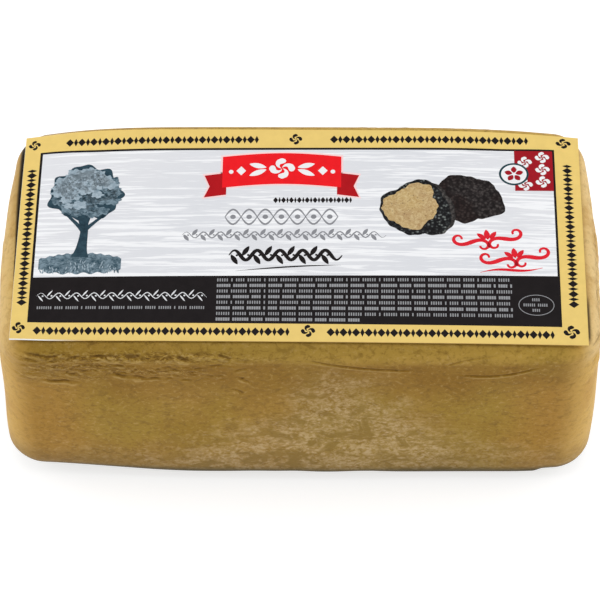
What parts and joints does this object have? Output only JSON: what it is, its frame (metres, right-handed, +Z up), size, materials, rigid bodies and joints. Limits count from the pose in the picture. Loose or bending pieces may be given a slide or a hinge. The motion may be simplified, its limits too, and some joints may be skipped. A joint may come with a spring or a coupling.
{
  "type": "truffle sheep cheese",
  "caption": "Rectangular loaf of pressed cheese with rounded edges, a creased ochre rind and a printed paper label that covers its top.",
  "frame": {"origin": "on the resting plane, under the middle of the loaf", "axes": "+X along the loaf, to the right when it is seen from the front; the front, the long side that the label is read from, faces -Y; +Z up"},
  "size_m": [0.2818, 0.1416, 0.1043],
  "materials": {
    "rind": "satin, waxy natural rind",
    "label_paper": "satin printed paper"
  },
  "bodies": {
    "root": {"cheese_loaf": "rind", "label": "label_paper"}
  },
  "joints": []
}
